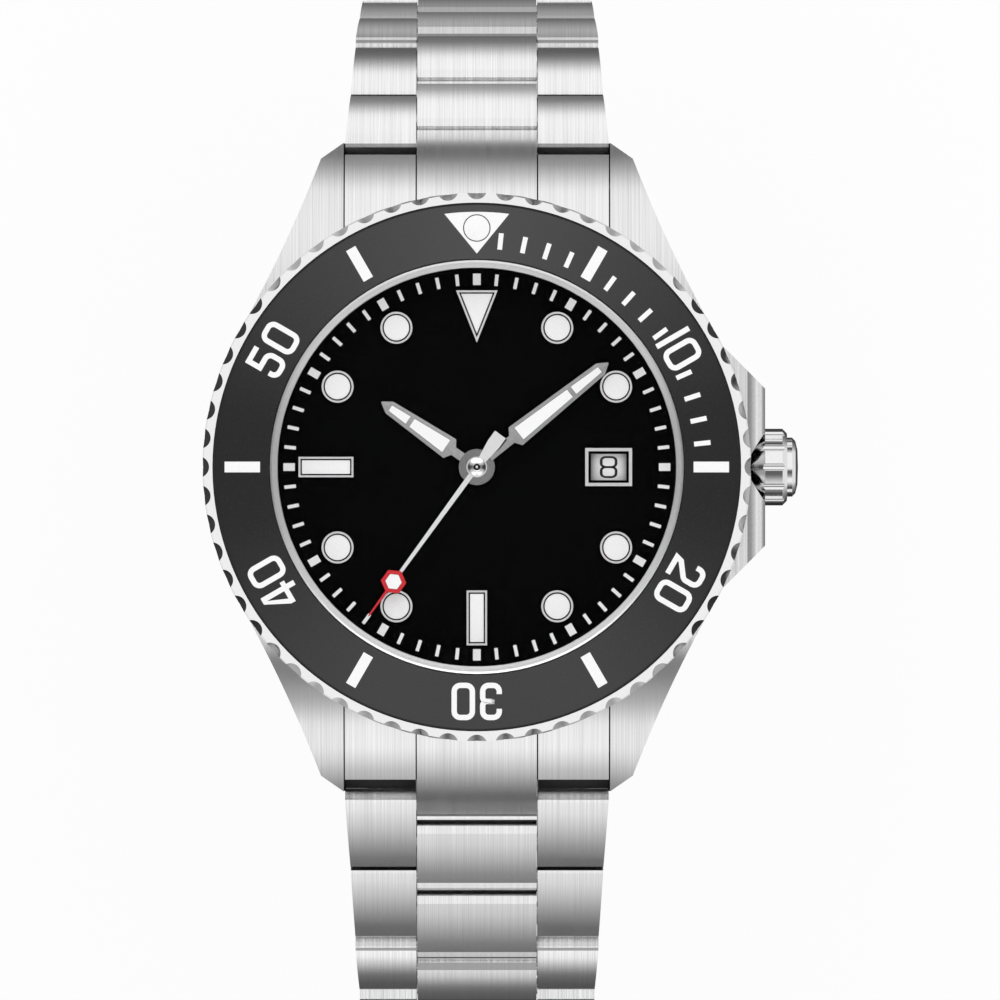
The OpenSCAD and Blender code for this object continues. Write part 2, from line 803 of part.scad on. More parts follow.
module minute_lume() {
  color("white") place_hand(6 * show_minute, z_minute - 0.05) linear_extrude(hand_t)
    hand_windows(minute_len, minute_root, minute_shoulder, fit_gap);
}

module seconds_hand() {
  color("silver") place_hand(6 * show_second, z_second) difference() {
    union() {
      linear_extrude(0.15) {
        polygon([[-0.2, 0], [0.2, 0], [0.12, hex_at], [0.06, second_len], [-0.06, second_len],
          [-0.12, hex_at]]);
        translate([0, hex_at]) rotate(30) circle(r = hex_r, $fn = 6);
        polygon([[-0.22, 0], [-0.5, -2.1], [-0.5, -3], [0.5, -3], [0.5, -2.1], [0.22, 0]]);
      }
      cylinder(r = 0.77, h = 0.35);
    }
    translate([0, 0, -1]) cylinder(r = arbor_r + fit_gap, h = 1.2);
    translate([0, hex_at, -1]) rotate([0, 0, 30]) cylinder(r = hex_r - 0.32, h = 3, $fn = 6);
  }
}

module seconds_lume() {
  color("white") place_hand(6 * show_second, z_second) translate([0, hex_at, 0.02])
    rotate([0, 0, 30]) cylinder(r = hex_r - 0.32 - fit_gap, h = 0.12, $fn = 6);
}

module hour_wheel() {
  color("gold") difference() {
    union() {
      gear(40, mod_hour, [0, 0], motion_deg, z_plate_top + 0.24, z_plate_top + 0.4);
      disc(hour_pipe, z_plate_top + 0.24, z_hour + hand_t);
    }
    disc(minute_pipe + run_gap, z_plate_top, z_hour + 2);
  }
}

module centre_wheel() {
  color("gold") difference() {
    union() {
      difference() {
        gear(80, mod_third, [0, 0], third_deg, z_plate - 0.4, z_plate - 0.4 + wheel_t);
        wheel_windows([0, 0], 2.3, 0.95, z_plate - 0.3);
      }
      gear(11, mod_barrel, [0, 0], barrel_deg, z_plate - 0.8, z_plate - 0.39);
      disc(cannon_r, z_plate - 0.8, z_plate_top + 0.06);
      gear(12, mod_cannon, [0, 0], motion_deg, z_plate_top + 0.05, z_plate_top + 0.2);
      disc(minute_pipe, z_plate_top + 0.19, z_minute + hand_t);
      disc(cannon_r, z_plate_top, z_plate_top + 0.3);
    }
    disc(arbor_r + run_gap, z_train, z_minute + 2);
  }
}

module seconds_wheel() {
  color("gold") {
    difference() {
      gear(84, mod_escape, [0, 0], escape_deg, z_train + 0.1, z_train + 0.1 + wheel_t);
      wheel_windows([0, 0], 2.2, 0.9, z_train + 0.2);
    }
    gear(10, mod_second, [0, 0], third_deg, z_train + 0.3, z_train + 0.65);
    disc(arbor_r, z_bridge + 0.3, z_second + 0.2);
  }
}

module third_wheel() {
  color("gold") {
    difference() {
      gear(75, mod_second, third_at, third_deg + 180 + 180 / 75, z_train + 0.45,
        z_train + 0.45 + wheel_t);
      wheel_windows(third_at, 2.3, 0.95, z_train + 0.5);
    }
    gear(10, mod_third, third_at, third_deg + 180 + 18, z_plate - 0.5, z_plate - 0.15);
    arbor(third_at, pivot_r, z_bridge + 0.3, z_plate + 0.5);
    arbor(third_at, arbor_r, z_train + 0.4, z_plate - 0.2);
  }
}

module escape_wheel() {
  color("gold") {
    gear(7, mod_escape, escape_at, escape_deg + 180 + 180 / 7, z_train + 0.08, z_train + 0.3);
    translate([escape_at[0], escape_at[1], z_train + 0.65]) linear_extrude(wheel_t)
      difference() {
        polygon([for (i = [0 : 19]) for (k = [0 : 2])
          polar([escape_r - 0.5, escape_r, escape_r - 0.1][k], 18 * i + [0, 7, 10][k])]);
        for (i = [0 : 4]) rotate(72 * i) translate([0.85, 0]) circle(r = 0.38);
      }
    arbor(escape_at, pivot_r, z_bridge + 0.3, z_plate + 0.5);
  }
}

module minute_wheel() {
  color("gold") difference() {
    union() {
      gear(36, mod_cannon, motion_at, motion_deg + 180 + 5, z_plate_top + 0.05,
        z_plate_top + 0.2);
      gear(10, mod_hour, motion_at, motion_deg + 180 + 18, z_plate_top + 0.19,
        z_plate_top + 0.4);
    }
    arbor(motion_at, 0.25 + run_gap, z_plate_top - 1, z_plate_top + 1);
  }
}

module barrel() {
  color("gold") {
    gear(77, mod_barrel, barrel_at, barrel_deg + 180 + 180 / 77, z_plate - 0.78,
      z_plate - 0.55);
    arbor(barrel_at, mod_barrel * 36, z_train + 0.3, z_plate - 0.5);
    arbor(barrel_at, pivot_r, z_bridge + 0.3, z_plate + 0.5);
  }
}

module pallet_fork() {
  z0 = z_train + 0.65;
  color("crimson") {
    translate([pallet_at[0], pallet_at[1], z0]) rotate([0, 0, pallet_deg])
      linear_extrude(wheel_t) difference() {
        union() {
          bar_2d([0, 0], [pallet_len - 0.55, 0], 0.34);
          for (sy = [-1, 1]) bar_2d([0, 0], [-0.5, sy * 1.2], 0.16);
          circle(r = 0.32);
        }
        translate([pallet_len - 0.62, -0.07]) square([1, 0.14]);
      }
    arbor(pallet_at, pivot_r, z0 - 0.25, z_plate + 0.5);
  }
}

module balance_wheel() {
  z0 = z_bridge + 0.7;
  color("gold") {
    translate([balance_at[0], balance_at[1], 0]) {
      ring(balance_r, balance_r - 0.45, z0, z0 + 0.25);
      slab(z0, z0 + 0.15) difference() {
        union() {
          circle(r = 0.7);
          for (i = [0 : 2]) rotate(120 * i) translate([0, -0.2]) square([balance_r - 0.2, 0.4]);
        }
        circle(r = 0.1);
      }
    }
    arbor(balance_at, pivot_r, z_bridge + 0.1, z_plate + 0.5);
    arbor(balance_at, 0.45, z_plate - 0.95, z_plate - 0.6);
    arbor(balance_at, 0.36, z_bridge + 0.56, z0 + 0.01);
  }
}

module hairspring() {
  color("steelblue") translate([balance_at[0], balance_at[1], z_bridge + 0.58])
    linear_extrude(0.1) polygon(spiral_points(0.4, 0.22, 6, 0.05));
}

module date_ring() {
  color("white") slab(z_plate_top + 0.1, z_plate_top + 0.3) difference() {
    circle(r = 11.7);
    polygon(gear_points(31, 0.54));
  }
}

module rotor() {
  color("gray") difference() {
    union() {
      slab(z_rotor, z_rotor + 0.35) rotor_2d(1.6);
      slab(z_rotor, z_rotor + 1) difference() {
        rotor_2d(1.6);
        circle(r = rotor_r - 2.6);
      }
      disc(2.8, z_rotor, z_rotor + 0.8);
    }
    disc(1.5 + run_gap, z_rotor - 1, z_rotor + 2);
  }
}

module rotor_2d(lift) {
  difference() {
    circle(r = rotor_r);
    translate([-far, lift]) square([2 * far, far]);
  }
}

// Everything below a line through p at angle a
module below(p, a) {
  translate(p) rotate(a) translate([-far, -2 * far]) square([2 * far, 2 * far]);
}

// Side view of a side link, the near hinge at the origin
module side_link_2d() {
  run = link_pitch - reach;
  mid = (run - link_end_r) / 2;
  top = link_out - pow(run - mid, 2) / (2 * link_crown_r);
  intersection() {
    union() {
      circle(r = link_end_r);
      translate([-link_end_r, 0]) square([run + link_end_r, link_out]);
      translate([0, -link_in]) square([run, link_in + eps]);
    }
    translate([mid, link_out - link_crown_r]) circle(r = link_crown_r);
    below([-link_end_r, top - near_bevel], 45);
    below([run, top - link_bevel], -45);
  }
}

// Side view of a centre link, the near hinge at the origin
module centre_link_2d() {
  rise = link_out + 0.06;
  shoulder = 20;
  eye = [link_pitch + link_end_r * sin(shoulder), link_end_r * cos(shoulder)];
  mid = (reach + eye[0]) / 2;
  top = rise - pow(mid - reach, 2) / (2 * link_crown_r);
  intersection() {
    union() {
      translate([link_pitch, 0]) circle(r = link_end_r);
      translate([reach, -link_in]) square([link_pitch - reach, link_in + eps]);
      translate([reach, 0]) square([eye[0] - reach, rise]);
    }
    translate([mid, rise - link_crown_r]) circle(r = link_crown_r);
    below([reach, top - centre_bevel], 45);
    below(eye, -shoulder);
  }
}

// Row i of a bracelet half, laid along +Y with its near hinge at the origin
module link_row(i) {
  w0 = half_w(i);
  w1 = half_w(i + 1);
  y1 = link_pitch - reach;
  difference() {
    intersection() {
      x_pair(centre_w / 2 + side_gap, w0 + 1) side_link_2d();
      slab(-far, far)
        polygon([[-w0, -link_end_r], [w0, -link_end_r], [w1, y1], [-w1, y1]]);
    }
    x_bar(pin_r + fit_gap, -far, far, 0, 0);
    x_bar(pin_r + fit_gap, -far, far, link_pitch / 2, 0);
  }
  difference() {
    x_slab(-centre_w / 2, centre_w / 2) centre_link_2d();
    x_bar(pin_r + fit_gap, -far, far, link_pitch / 2, 0);
    x_bar(pin_r + run_gap, -far, far, link_pitch, 0);
  }
  x_bar(pin_r, -w1 + 0.35, w1 - 0.35, 0, 0);
  x_bar(pin_r, -w1 + 0.35, w1 - 0.35, link_pitch / 2, 0);
}

module place_row(bend, i, y0) {
  p = hinge_at(bend, i, y0);
  translate([0, p[0], p[1]]) rotate([-bend[i], 0, 0]) children();
}

module row_12(i) {
  color("silver") place_row(bend_12, i, hinge_12_y) {
    link_row(i);
    if (i == rows - 1)
      x_bar(pin_r, -centre_w / 2 + 0.2, centre_w / 2 - 0.2, link_pitch, 0);
  }
}

module row_6(i) {
  color("silver") mirror([0, 1, 0]) place_row(bend_6, i, hinge_6_y) link_row(i);
}

module link_12_1() row_12(0);
module link_12_2() row_12(1);
module link_12_3() row_12(2);
module link_12_4() row_12(3);
module link_12_5() row_12(4);
module link_12_6() row_12(5);
module link_12_7() row_12(6);
module link_6_1() row_6(0);
module link_6_2() row_6(1);
module link_6_3() row_6(2);
module link_6_4() row_6(3);
module link_6_5() row_6(4);
module link_6_6() row_6(5);
module link_6_7() row_6(6);

module place_clasp() {
  translate([0, clasp_a[0], clasp_a[1]]) rotate([clasp_tilt, 0, 0]) children();
}

// Strip of the clasp arc between two radii, cut square at u0 and u1
module arc_band(r0, r1, u0, u1) {
  intersection() {
    translate([clasp_l / 2, clasp_wc]) difference() {
      circle(r = r1);
      circle(r = r0);
    }
    translate([u0, -far / 2]) square([u1 - u0, far / 2 + 5]);
  }
}

module clasp_blade_inner() {
  r1 = clasp_r - 0.2;
  r0 = r1 - blade_t;
  color("silver") place_clasp() {
    difference() {
      union() {
        x_slab(-blade_w / 2, blade_w / 2) arc_band(r0, r1, reach + 0.1, fold_u);
        x_pair(centre_w / 2 + side_gap, wall_in - 0.2) {
          arc_band(r0, r1, 0, 5);
          circle(r = link_end_r - 0.05);
        }
        x_slab(-2.4, 2.4) translate(fold_at) circle(r = 0.8);
      }
      x_pair(2.4, blade_w) translate(fold_at) circle(r = 0.9);
      x_bar(pin_r + fit_gap, -far, far, 0, 0);
      x_bar(0.4 + fit_gap, -far, far, fold_at[0], fold_at[1]);
    }
    x_bar(pin_r, -wall_in + 0.4, wall_in - 0.4, 0, 0);
    x_bar(0.4, -blade_w / 2 + 0.3, blade_w / 2 - 0.3, fold_at[0], fold_at[1]);
  }
}

module clasp_blade_outer() {
  r0 = clasp_r - 0.1;
  color("silver") place_clasp() difference() {
    union() {
      x_slab(-blade_w / 2, blade_w / 2) {
        arc_band(r0, r0 + blade_t, cover_u, fold_u);
        translate(cover_at) circle(r = 0.45);
      }
      x_pair(2.5, blade_w / 2) translate(fold_at) circle(r = 0.8);
    }
    x_slab(-2.5, 2.5) translate(fold_at) circle(r = 0.9);
    x_bar(0.4 + run_gap, -far, far, fold_at[0], fold_at[1]);
    x_bar(0.25 + run_gap, -far, far, cover_at[0], cover_at[1]);
  }
}

module clasp_cover() {
  u1 = clasp_l - reach - 0.2;
  color("silver") place_clasp() {
    difference() {
      union() {
        x_slab(-clasp_w / 2, clasp_w / 2) arc_band(cover_in, cover_in + cover_t, reach + 0.1, u1);
        x_pair(wall_in, clasp_w / 2) {
          arc_band(clasp_r - 0.95, cover_in + cover_t, 0.4, u1);
          circle(r = link_end_r - 0.05);
        }
        x_pair(centre_w / 2 + side_gap, clasp_w / 2) {
          arc_band(clasp_r - 0.95, cover_in + 0.3, u1 - 4, clasp_l);
          translate([clasp_l, 0]) circle(r = link_end_r - 0.05);
        }
        x_pair(clasp_w / 2 - 0.1, clasp_w / 2 + 0.7) translate(lock_at) circle(r = 0.4);
      }
      x_bar(0.25 + fit_gap, -far, far, cover_at[0], cover_at[1]);
    }
    x_bar(0.25, -clasp_w / 2 + 0.2, clasp_w / 2 - 0.2, cover_at[0], cover_at[1]);
  }
}

module clasp_lock() {
  r0 = cover_in + cover_t + 0.1;
  x0 = clasp_w / 2 + 0.1;
  color("silver") place_clasp() difference() {
    union() {
      x_slab(-x0 - 0.6, x0 + 0.6) arc_band(r0, r0 + 0.55, 1.5, lock_at[0] - 1.8);
      x_pair(x0, x0 + 0.6) {
        arc_band(clasp_r, r0 + 0.55, lock_at[0] - 6, lock_at[0] - 1.8);
        arc_band(clasp_r, r0, lock_at[0] - 2, lock_at[0]);
        translate(lock_at) circle(r = 0.9);
      }
    }
    x_bar(0.4 + run_gap, -far, far, lock_at[0], lock_at[1]);
  }
}

case();
crown_tube();
case_back();
back_gasket();
crystal();
crystal_gasket();
rehaut_ring();
bezel_spring();
dial();
hour_markers();
marker_lume();
movement_ring();
main_plate();
train_bridge();
balance_cock();
rotor_bearing();
end_links();
lug_spring_bars();
bezel_ring();
bezel_insert();
bezel_pearl();
winding_stem();
crown();
hour_hand();
hour_lume();
hour_wheel();
minute_hand();
minute_lume();
centre_wheel();
seconds_hand();
seconds_lume();
seconds_wheel();
third_wheel();
escape_wheel();
minute_wheel();
barrel();
pallet_fork();
balance_wheel();
hairspring();
date_ring();
rotor();
clasp_blade_inner();
clasp_blade_outer();
clasp_cover();
clasp_lock();
link_12_1();
link_12_2();
link_12_3();
link_12_4();
link_12_5();
link_12_6();
link_12_7();
link_6_1();
link_6_2();
link_6_3();
link_6_4();
link_6_5();
link_6_6();
link_6_7();
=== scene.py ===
import math
import bpy
import bmesh
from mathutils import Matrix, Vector
from mathutils.geometry import tessellate_polygon


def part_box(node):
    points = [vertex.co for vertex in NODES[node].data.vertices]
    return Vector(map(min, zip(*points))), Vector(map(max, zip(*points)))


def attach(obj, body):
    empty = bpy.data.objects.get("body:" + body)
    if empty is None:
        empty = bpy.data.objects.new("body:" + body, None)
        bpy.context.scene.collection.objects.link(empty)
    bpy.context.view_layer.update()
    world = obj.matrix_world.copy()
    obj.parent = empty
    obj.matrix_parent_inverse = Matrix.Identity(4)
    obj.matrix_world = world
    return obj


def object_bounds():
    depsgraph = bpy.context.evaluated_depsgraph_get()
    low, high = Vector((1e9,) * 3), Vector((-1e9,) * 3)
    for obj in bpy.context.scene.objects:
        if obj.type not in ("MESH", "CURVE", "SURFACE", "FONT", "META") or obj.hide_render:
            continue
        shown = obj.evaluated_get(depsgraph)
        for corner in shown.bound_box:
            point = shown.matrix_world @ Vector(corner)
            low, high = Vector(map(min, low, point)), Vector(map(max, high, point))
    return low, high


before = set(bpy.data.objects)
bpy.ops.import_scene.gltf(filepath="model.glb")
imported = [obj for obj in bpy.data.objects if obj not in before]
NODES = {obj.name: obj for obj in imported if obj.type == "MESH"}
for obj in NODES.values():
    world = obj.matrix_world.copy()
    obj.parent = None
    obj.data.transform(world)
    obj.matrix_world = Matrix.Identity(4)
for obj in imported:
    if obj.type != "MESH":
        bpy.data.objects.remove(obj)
CAD_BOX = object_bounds()
MM = 0.001

# Sizes that the CAD model has too, in millimetres
INSERT_IN = 15.57
INSERT_OUT = 19.63
INSERT_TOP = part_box("bezel_insert")[1][2] / MM
INSERT_FALL = 0.3
DIAL_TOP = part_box("dial")[1][2] / MM
DATE_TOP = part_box("date_ring")[1][2] / MM
DATE_X = 9.87
MARKER_TOP = DIAL_TOP + 0.35
MARKER_OUT = 13.35
DOT_AT = 12.04
DOT_D = 2.4
BAR_LEN = 4.11
BAR_W = 1.53
TRI_W = 3.12
TRI_H = 3.92
RED_FROM = 9.66

# Sizes of the printed marks, in millimetres
LINE_INSETS = (0.15, 0.25)
STROKE = 0.40
DIGIT_H = 2.80
DIGIT_W = 1.76
DIGIT_R = 0.45
DIGIT_GAP = 0.36
NUMERAL_AT = 17.52
TRACK = (13.63, 14.49)
DAYS = 31
DAY_SHOWN = 8
DATE_H = 1.65
DATE_STROKE = 0.26
DATE_GAP = 0.3

# The stage, in millimetres. The floor leaves room below the watch for the open clasp.
STAGE_HALF = 6000.0
FLOOR_DROP = 27.0
CARD_DROP = 0.2
# Height of the black sheets that are painted shade in the slits
SLIT_SHADE_Z = 0.7
WHITE = (1.0, 1.0, 1.0, 1.0)


def insert_z(r):
    """Height of the sloping insert at a radius, in millimetres."""
    return INSERT_TOP - INSERT_FALL * (r - INSERT_IN) / (INSERT_OUT - INSERT_IN)


# Materials
def new_material(name):
    """A material, its nodes, a link function and its principled shader."""
    m = bpy.data.materials.new(name)
    m.use_nodes = True
    tree = m.node_tree
    shader = tree.nodes["Principled BSDF"]
    return m, tree.nodes, tree.links.new, shader


def stretched(nodes, link, scale):
    """Object coordinates scaled by three numbers, for streaks and grain."""
    coord = nodes.new("ShaderNodeTexCoord")
    mapping = nodes.new("ShaderNodeMapping")
    mapping.inputs["Scale"].default_value = scale
    link(coord.outputs["Object"], mapping.inputs["Vector"])
    return mapping.outputs["Vector"]


def noise(nodes, link, vector, detail=2.0, rough=0.5):
    """A noise texture on a vector that already carries its scale."""
    n = nodes.new("ShaderNodeTexNoise")
    n.inputs["Scale"].default_value = 1.0
    n.inputs["Detail"].default_value = detail
    n.inputs["Roughness"].default_value = rough
    link(vector, n.inputs["Vector"])
    return n.outputs["Fac"]


def ramp(nodes, link, fac, stops):
    """A colour ramp with (place, grey or colour) stops."""
    r = nodes.new("ShaderNodeValToRGB")
    e = r.color_ramp.elements
    while len(e) < len(stops):
        e.new(0.5)
    for k, (place, colour) in enumerate(stops):
        if not isinstance(colour, tuple):
            colour = (colour, colour, colour)
        e[k].position = place
        e[k].color = (*colour, 1.0)
    link(fac, r.inputs["Fac"])
    return r.outputs["Color"]


def spread(nodes, link, value, ends, to):
    """A value mapped straight from one pair of numbers to another."""
    n = nodes.new("ShaderNodeMapRange")
    n.inputs["From Min"].default_value, n.inputs["From Max"].default_value = ends
    n.inputs["To Min"].default_value, n.inputs["To Max"].default_value = to
    link(value, n.inputs["Value"])
    return n.outputs["Result"]


def size_of(nodes, link, value):
    """The size of a value without its sign."""
    n = nodes.new("ShaderNodeMath")
    n.operation = "ABSOLUTE"
    link(value, n.inputs[0])
    return n.outputs[0]


def larger(nodes, link, a, b):
    """The larger of two values."""
    n = nodes.new("ShaderNodeMath")
    n.operation = "MAXIMUM"
    link(a, n.inputs[0])
    link(b, n.inputs[1])
    return n.outputs[0]


def mixed(nodes, link, fac, a, b, kind="MIX"):
    """Two colours mixed by a factor, an output or None for all of it. A tuple is a plain colour."""
    n = nodes.new("ShaderNodeMix")
    n.data_type = "RGBA"
    n.blend_type = kind
    if fac is None:
        n.inputs["Factor"].default_value = 1.0
    else:
        link(fac, n.inputs["Factor"])
    for socket, value in ((n.inputs["A"], a), (n.inputs["B"], b)):
        if isinstance(value, tuple):
            socket.default_value = value
        else:
            link(value, socket)
    return n.outputs["Result"]


def bump(nodes, link, shader, height, distance):
    """Bump from a height, with its depth in millimetres."""
    b = nodes.new("ShaderNodeBump")
    b.inputs["Strength"].default_value = 1.0
    b.inputs["Distance"].default_value = distance * MM
    link(height, b.inputs["Height"])
    link(b.outputs["Normal"], shader.inputs["Normal"])


def across_tangent(nodes, link, shader, axis, amount):
    """Stretches the highlight across the direction that runs round an axis."""
    tangent = nodes.new("ShaderNodeTangent")
    tangent.direction_type = "RADIAL"
    tangent.axis = axis
    link(tangent.outputs["Tangent"], shader.inputs["Tangent"])
    shader.inputs["Anisotropic"].default_value = amount
    shader.inputs["Anisotropic Rotation"].default_value = 0.25


def brushed(name, tint, rough, scale, depth, aniso=0.0):
    """Brushed steel: fine streaks in colour, roughness and relief."""
    m, nodes, link, shader = new_material(name)
    fine = noise(nodes, link, stretched(nodes, link, scale), 4.0, 0.6)
    low, high = tint
    link(ramp(nodes, link, fine, [(0.3, low), (0.7, high)]), shader.inputs["Base Color"])
    link(ramp(nodes, link, fine, [(0.3, rough[1]), (0.7, rough[0])]), shader.inputs["Roughness"])
    shader.inputs["Metallic"].default_value = 1.0
    if aniso:
        across_tangent(nodes, link, shader, "X", aniso)
    bump(nodes, link, shader, fine, depth)
    return m


def polished(name, tint, rough, depth=0.0001):
    """Polished steel with faint wipe marks."""
    m, nodes, link, shader = new_material(name)
    wipe = noise(nodes, link, stretched(nodes, link, (5000.0, 5000.0, 5000.0)), 3.0, 0.6)
    low, high = tint
    link(ramp(nodes, link, wipe, [(0.3, low), (0.7, high)]), shader.inputs["Base Color"])
    link(ramp(nodes, link, wipe, [(0.3, rough[0]), (0.7, rough[1])]), shader.inputs["Roughness"])
    shader.inputs["Metallic"].default_value = 1.0
    bump(nodes, link, shader, wipe, depth)
    return m


def painted(name, tint, rough, scale, depth, specular=0.5):
    """Paint, print or rubber with a fine grain."""
    m, nodes, link, shader = new_material(name)
    grain = noise(nodes, link, stretched(nodes, link, (scale, scale, scale)), 3.0, 0.6)
    low, high = tint
    link(ramp(nodes, link, grain, [(0.3, low), (0.7, high)]), shader.inputs["Base Color"])
    link(ramp(nodes, link, grain, [(0.3, rough[0]), (0.7, rough[1])]), shader.inputs["Roughness"])
    shader.inputs["Specular IOR Level"].default_value = specular
    bump(nodes, link, shader, grain, depth)
    return m


STREAK = (13000.0, 60.0, 60.0)
LINK_STEEL = brushed("link_steel", (0.82, 0.98), (0.14, 0.20), STREAK, 0.0004, 0.4)
CASE_STEEL = brushed("case_steel", (0.78, 0.96), (0.16, 0.22), STREAK, 0.0004, 0.4)
SIDE_STEEL = polished("side_steel", (0.76, 0.84), (0.06, 0.12))
POLISHED = polished("polished_steel", (0.84, 0.88), (0.06, 0.09), 0.00003)
# Darker steel for the grip hollows of the bezel: painted shade in the hollows
GRIP_SHADE_STEEL = polished("grip_shade_steel", (0.40, 0.48), (0.10, 0.16))
RING_STEEL = polished("ring_steel", (0.88, 0.93), (0.32, 0.40))
MARKER_STEEL = polished("marker_steel", (0.70, 0.78), (0.18, 0.26))
# Near-black steel for the walls of the slits: painted shade in the narrow gaps
SLIT_SHADE_STEEL = polished("slit_shade_steel", (0.02, 0.04), (0.45, 0.55))
HAND_STEEL = polished("hand_steel", (0.80, 0.88), (0.08, 0.14))
# Darker steel for the hub flats of the hands: painted shade on the hubs
HUB_SHADE_STEEL = polished("hub_shade_steel", (0.20, 0.28), (0.16, 0.24))
PLAIN_STEEL = brushed("plain_steel", (0.42, 0.56), (0.28, 0.40),
                      (1200.0, 1200.0, 1200.0), 0.0010)
GILT = brushed("gilt_brass", ((0.62, 0.43, 0.16), (0.76, 0.54, 0.24)), (0.22, 0.34),
               (2500.0, 2500.0, 2500.0), 0.0008)
BLUED = polished("blued_steel", ((0.02, 0.05, 0.20), (0.03, 0.08, 0.30)), (0.15, 0.25))
DIAL = painted("dial_black", (0.0005, 0.0012), (0.55, 0.65), 6000.0, 0.0004, 0.03)
# Black rubber for the gaskets, also painted shade in the gap round the insert
RUBBER_AND_GAP_SHADE = painted("seal_rubber", (0.010, 0.020), (0.55, 0.70), 4000.0, 0.0020)
LUME = painted("lume_white", (0.88, 0.93), (0.50, 0.60), 7000.0, 0.0010, 0.2)
PRINT = painted("print_white", (0.88, 0.93), (0.45, 0.55), 6000.0, 0.0008, 0.2)
DATE_WHITE = painted("date_white", (0.86, 0.91), (0.45, 0.55), 5000.0, 0.0006, 0.2)
DATE_INK = painted("date_ink", (0.004, 0.008), (0.40, 0.50), 6000.0, 0.0004)


def insert_black():
    """Black anodised insert with a fine round grain."""
    m, nodes, link, shader = new_material("insert_black")
    grain = noise(nodes, link, stretched(nodes, link, (14000.0, 14000.0, 14000.0)), 3.0, 0.6)
    link(ramp(nodes, link, grain, [(0.3, 0.001), (0.7, 0.006)]), shader.inputs["Base Color"])
    link(ramp(nodes, link, grain, [(0.3, 0.22), (0.7, 0.28)]), shader.inputs["Roughness"])
    shader.inputs["IOR"].default_value = 1.55
    shader.inputs["Specular IOR Level"].default_value = 1.0
    across_tangent(nodes, link, shader, "Z", 1.0)
    bump(nodes, link, shader, grain, 0.0012)
    return m


INSERT = insert_black()


def glass():
    """Sapphire with a non-reflective coat on both faces."""
    m, nodes, link, shader = new_material("crystal_glass")
    shader.inputs["Base Color"].default_value = (1.0, 1.0, 1.0, 1.0)
    shader.inputs["Transmission Weight"].default_value = 1.0
    shader.inputs["IOR"].default_value = 1.04
    coat = noise(nodes, link, stretched(nodes, link, (300.0, 300.0, 300.0)), 2.0)
    link(ramp(nodes, link, coat, [(0.3, 0.0), (0.7, 0.01)]), shader.inputs["Roughness"])
    return m


def red_tip():
    """Seconds hand: steel near the hub, red lacquer from the hexagon to the tip."""
    m, nodes, link, shader = new_material("seconds_tip")
    coord = nodes.new("ShaderNodeTexCoord")
    flat = nodes.new("ShaderNodeVectorMath")
    flat.operation = "MULTIPLY"
    flat.inputs[1].default_value = (1.0, 1.0, 0.0)
    size = nodes.new("ShaderNodeVectorMath")
    size.operation = "LENGTH"
    past = nodes.new("ShaderNodeMath")
    past.operation = "GREATER_THAN"
    past.inputs[1].default_value = RED_FROM * MM
    link(coord.outputs["Object"], flat.inputs[0])
    link(flat.outputs["Vector"], size.inputs[0])
    link(size.outputs["Value"], past.inputs[0])
    fac = past.outputs["Value"]
    red = (0.60, 0.008, 0.016)
    link(ramp(nodes, link, fac, [(0.0, 0.76), (1.0, red)]), shader.inputs["Base Color"])
    link(ramp(nodes, link, fac, [(0.0, 0.16), (1.0, 0.30)]), shader.inputs["Roughness"])
    link(ramp(nodes, link, fac, [(0.0, 1.0), (1.0, 0.0)]), shader.inputs["Metallic"])
    return m


GLASS = glass()
SECONDS = red_tip()


def dress(material, *names):
    """Gives CAD nodes a finished material."""
    for name in names:
        slots = NODES[name].data.materials
        if not slots:
            slots.append(material)
        for k in range(len(slots)):
            slots[k] = material


ROWS = ["link_%s_%d" % (side, k) for side in ("12", "6") for k in range(1, 8)]
dress(LINK_STEEL, "end_links", *ROWS)
dress(LINK_STEEL, "clasp_cover", "clasp_lock", "clasp_blade_inner", "clasp_blade_outer")
dress(CASE_STEEL, "case", "case_back")
dress(POLISHED, "bezel_ring", "crown")
dress(RING_STEEL, "rehaut_ring")
dress(MARKER_STEEL, "hour_markers")
dress(HAND_STEEL, "hour_hand", "minute_hand")
dress(SECONDS, "seconds_hand")
dress(INSERT, "bezel_insert")
dress(DIAL, "dial")
dress(GLASS, "crystal")
NODES["crystal"].visible_shadow = False
NODES["crystal"].visible_diffuse = False
dress(LUME, "marker_lume", "hour_lume", "minute_lume", "seconds_lume", "bezel_pearl")
dress(DATE_WHITE, "date_ring")
dress(RUBBER_AND_GAP_SHADE, "back_gasket", "crystal_gasket")
dress(PLAIN_STEEL, "crown_tube", "winding_stem", "bezel_spring", "movement_ring", "main_plate",
      "train_bridge", "balance_cock", "rotor_bearing", "lug_spring_bars", "pallet_fork", "rotor")
dress(GILT, "hour_wheel", "centre_wheel", "seconds_wheel", "third_wheel", "escape_wheel",
      "minute_wheel", "barrel", "balance_wheel")
dress(BLUED, "hairspring")


def polish_faces(name, material, test):
    """One more material on the faces of a CAD node that a test of centre and normal picks."""
    mesh = NODES[name].data
    mesh.materials.append(material)
    k = len(mesh.materials) - 1
    for p in mesh.polygons:
        if test(p.center / MM, p.normal):
            p.material_index = k


